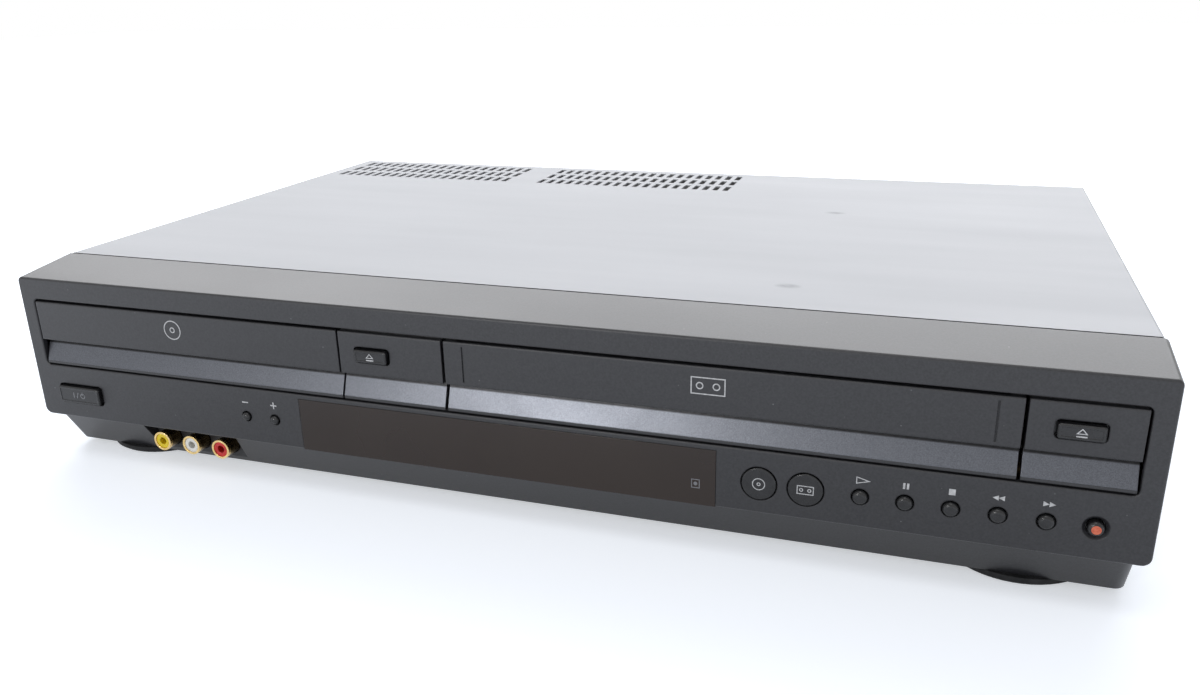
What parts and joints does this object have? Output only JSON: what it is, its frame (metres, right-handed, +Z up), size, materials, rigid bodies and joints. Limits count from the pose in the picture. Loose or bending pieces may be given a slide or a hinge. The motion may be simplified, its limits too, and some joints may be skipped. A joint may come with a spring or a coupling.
{
  "type": "vcr dvd combo player",
  "caption": "Full-width home video deck with a sliding disc drawer on the left, a tape flap on the right, front buttons, a display window and phono sockets.",
  "frame": {"origin": "middle of the footprint, at the level of the surface that the feet stand on", "axes": "+X to the right seen from the front, +Y from the front to the back, +Z up"},
  "size_m": [0.43, 0.2858, 0.0834],
  "materials": {
    "black_plastic": "fine satin moulding",
    "button_plastic": "smooth satin moulding",
    "strip_paint": "metallic painted plastic",
    "smoked_pane": "smoky clear, polished",
    "cover_paint": "satin painted steel sheet",
    "rear_paint": "satin painted steel sheet",
    "zinc_steel": "zinc coated steel sheet",
    "bright_steel": "ground and polished",
    "screw_steel": "plated",
    "foot_rubber": "matt",
    "belt_rubber": "matt",
    "gold_plate": "thin gold coloured plating",
    "yellow_plastic": "moulded",
    "white_plastic": "moulded",
    "red_plastic": "moulded",
    "board_laminate": "paper laminate with parts",
    "display_glass": "flat display tube",
    "frame_plastic": "moulded",
    "white_nylon": "moulded",
    "motor_can": "drawn can",
    "drum_alloy": "turned and polished",
    "sled_alloy": "die cast"
  },
  "bodies": {
    "chassis": {"front_panel": "black_plastic", "top_cover": "cover_paint", "bottom_chassis": "zinc_steel", "rear_panel": "rear_paint", "feet": "foot_rubber", "cover_screws": "screw_steel", "display_window": "smoked_pane", "disc_eject_fascia": "black_plastic", "tape_eject_fascia": "black_plastic", "eject_trims": "strip_paint", "control_board": "board_laminate", "display_tube": "display_glass", "main_board": "board_laminate", "power_board": "board_laminate", "socket_shells": "gold_plate", "yellow_inserts": "yellow_plastic", "white_inserts": "white_plastic", "red_inserts": "red_plastic", "cord_gland": "black_plastic", "tray_belt": "belt_rubber", "drive_motors": "motor_can", "loader_frame": "frame_plastic", "spindle_motor": "motor_can", "clamp_bridge": "zinc_steel", "pickup_rails": "bright_steel", "tape_deck": "zinc_steel", "lower_drum": "drum_alloy", "cassette_side_plates": "zinc_steel"},
    "tray": {"disc_tray": "frame_plastic", "tray_front": "black_plastic", "tray_trim": "strip_paint"},
    "tray_gear": {"tray_gear": "white_nylon"},
    "motor_pulley": {"motor_pulley": "white_nylon"},
    "tape_flap": {"tape_door": "black_plastic", "tape_door_trim": "strip_paint"},
    "turntable": {"turntable": "frame_plastic"},
    "clamper": {"clamper": "white_nylon"},
    "laser_pickup": {"laser_pickup": "sled_alloy"},
    "lead_screw": {"lead_screw": "bright_steel"},
    "head_drum": {"head_drum": "drum_alloy"},
    "capstan": {"capstan": "bright_steel"},
    "supply_reel_table": {"supply_reel_table": "white_nylon"},
    "takeup_reel_table": {"takeup_reel_table": "white_nylon"},
    "pinch_arm": {"pinch_arm": "zinc_steel"},
    "pinch_roller": {"pinch_roller": "belt_rubber"},
    "cassette_carriage": {"cassette_carriage": "frame_plastic"},
    "cassette_holder": {"cassette_holder": "zinc_steel"},
    "power_button": {"power_button": "button_plastic"},
    "disc_eject_button": {"disc_eject_button": "button_plastic"},
    "tape_eject_button": {"tape_eject_button": "button_plastic"},
    "tracking_minus_button": {"tracking_minus_button": "button_plastic"},
    "tracking_plus_button": {"tracking_plus_button": "button_plastic"},
    "select_disc_button": {"select_disc_button": "button_plastic"},
    "select_tape_button": {"select_tape_button": "button_plastic"},
    "play_button": {"play_button": "button_plastic"},
    "pause_button": {"pause_button": "button_plastic"},
    "stop_button": {"stop_button": "button_plastic"},
    "rewind_button": {"rewind_button": "button_plastic"},
    "forward_button": {"forward_button": "button_plastic"},
    "record_button": {"record_button": "button_plastic"}
  },
  "joints": [
    {"name": "tray_slide", "type": "slide", "parent": "chassis", "child": "tray", "axis": [0, -1, 0], "range_m": [0, 0.14]},
    {"name": "tray_gear_turn", "type": "hinge", "parent": "chassis", "child": "tray_gear", "pos_m": [-0.0951, -0.1051, 0.0518], "axis": [0, 0, 1], "range_deg": [-731, 0]},
    {"name": "motor_pulley_turn", "type": "hinge", "parent": "chassis", "child": "motor_pulley", "pos_m": [-0.13085, -0.1051, 0.0455], "axis": [0, 0, 1], "range_deg": [-2388, 0]},
    {"name": "tape_flap_hinge", "type": "hinge", "parent": "chassis", "child": "tape_flap", "pos_m": [0.0772, -0.136, 0.0747], "axis": [1, 0, 0], "range_deg": [0, 90], "stiffness_Nm_per_rad": 0.002, "springref_deg": -28.65},
    {"name": "turntable_spin", "type": "hinge", "parent": "chassis", "child": "turntable", "pos_m": [-0.13585, -0.0691, 0.0597], "axis": [0, 0, 1], "continuous": true},
    {"name": "clamper_spin", "type": "hinge", "parent": "chassis", "child": "clamper", "pos_m": [-0.13585, -0.0691, 0.066], "axis": [0, 0, 1], "continuous": true},
    {"name": "pickup_slide", "type": "slide", "parent": "chassis", "child": "laser_pickup", "axis": [0, 1, 0], "range_m": [0, 0.033]},
    {"name": "lead_screw_turn", "type": "hinge", "parent": "chassis", "child": "lead_screw", "pos_m": [-0.10285, -0.0491, 0.05], "axis": [0, 1, 0], "range_deg": [0, 3962]},
    {"name": "head_drum_spin", "type": "hinge", "parent": "chassis", "child": "head_drum", "pos_m": [0.0772, 0.0099, 0.0216], "axis": [0, 0.0872, 0.9962], "continuous": true},
    {"name": "capstan_spin", "type": "hinge", "parent": "chassis", "child": "capstan", "pos_m": [0.14715, -0.0141, 0.0216], "axis": [0, 0, 1], "continuous": true},
    {"name": "supply_reel_spin", "type": "hinge", "parent": "chassis", "child": "supply_reel_table", "pos_m": [0.0312, -0.0791, 0.0216], "axis": [0, 0, 1], "continuous": true},
    {"name": "takeup_reel_spin", "type": "hinge", "parent": "chassis", "child": "takeup_reel_table", "pos_m": [0.1232, -0.0791, 0.0216], "axis": [0, 0, 1], "continuous": true},
    {"name": "pinch_arm_swing", "type": "hinge", "parent": "chassis", "child": "pinch_arm", "pos_m": [0.16312, 0.0079, 0.034], "axis": [0, 0, 1], "range_deg": [0, 25]},
    {"name": "pinch_roller_spin", "type": "hinge", "parent": "pinch_arm", "child": "pinch_roller", "pos_m": [0.1415, 0.00273, 0.036], "axis": [0, 0, 1], "continuous": true},
    {"name": "carriage_in", "type": "slide", "parent": "chassis", "child": "cassette_carriage", "axis": [0, 1, 0], "range_m": [0, 0.036]},
    {"name": "holder_down", "type": "slide", "parent": "cassette_carriage", "child": "cassette_holder", "axis": [0, 0, -1], "range_m": [0, 0.018]},
    {"name": "power_press", "type": "slide", "parent": "chassis", "child": "power_button", "axis": [0, 1, 0], "range_m": [0, 0.0008], "stiffness_N_per_m": 400},
    {"name": "disc_eject_press", "type": "slide", "parent": "chassis", "child": "disc_eject_button", "axis": [0, 1, 0], "range_m": [0, 0.0008], "stiffness_N_per_m": 400},
    {"name": "tape_eject_press", "type": "slide", "parent": "chassis", "child": "tape_eject_button", "axis": [0, 1, 0], "range_m": [0, 0.0008], "stiffness_N_per_m": 400},
    {"name": "tracking_minus_press", "type": "slide", "parent": "chassis", "child": "tracking_minus_button", "axis": [0, 1, 0], "range_m": [0, 0.0008], "stiffness_N_per_m": 400},
    {"name": "tracking_plus_press", "type": "slide", "parent": "chassis", "child": "tracking_plus_button", "axis": [0, 1, 0], "range_m": [0, 0.0008], "stiffness_N_per_m": 400},
    {"name": "select_disc_press", "type": "slide", "parent": "chassis", "child": "select_disc_button", "axis": [0, 1, 0], "range_m": [0, 0.0008], "stiffness_N_per_m": 400},
    {"name": "select_tape_press", "type": "slide", "parent": "chassis", "child": "select_tape_button", "axis": [0, 1, 0], "range_m": [0, 0.0008], "stiffness_N_per_m": 400},
    {"name": "play_press", "type": "slide", "parent": "chassis", "child": "play_button", "axis": [0, 1, 0], "range_m": [0, 0.0008], "stiffness_N_per_m": 400},
    {"name": "pause_press", "type": "slide", "parent": "chassis", "child": "pause_button", "axis": [0, 1, 0], "range_m": [0, 0.0008], "stiffness_N_per_m": 400},
    {"name": "stop_press", "type": "slide", "parent": "chassis", "child": "stop_button", "axis": [0, 1, 0], "range_m": [0, 0.0008], "stiffness_N_per_m": 400},
    {"name": "rewind_press", "type": "slide", "parent": "chassis", "child": "rewind_button", "axis": [0, 1, 0], "range_m": [0, 0.0008], "stiffness_N_per_m": 400},
    {"name": "forward_press", "type": "slide", "parent": "chassis", "child": "forward_button", "axis": [0, 1, 0], "range_m": [0, 0.0008], "stiffness_N_per_m": 400},
    {"name": "record_press", "type": "slide", "parent": "chassis", "child": "record_button", "axis": [0, 1, 0], "range_m": [0, 0.0008], "stiffness_N_per_m": 400}
  ],
  "couplings": [
    {"joint": "tray_gear_turn", "follows": "tray_slide", "rad_per_m": -90.909},
    {"joint": "motor_pulley_turn", "follows": "tray_slide", "rad_per_m": -297.52},
    {"joint": "clamper_spin", "follows": "turntable_spin", "ratio": 1},
    {"joint": "lead_screw_turn", "follows": "pickup_slide", "rad_per_m": 2094.4}
  ]
}
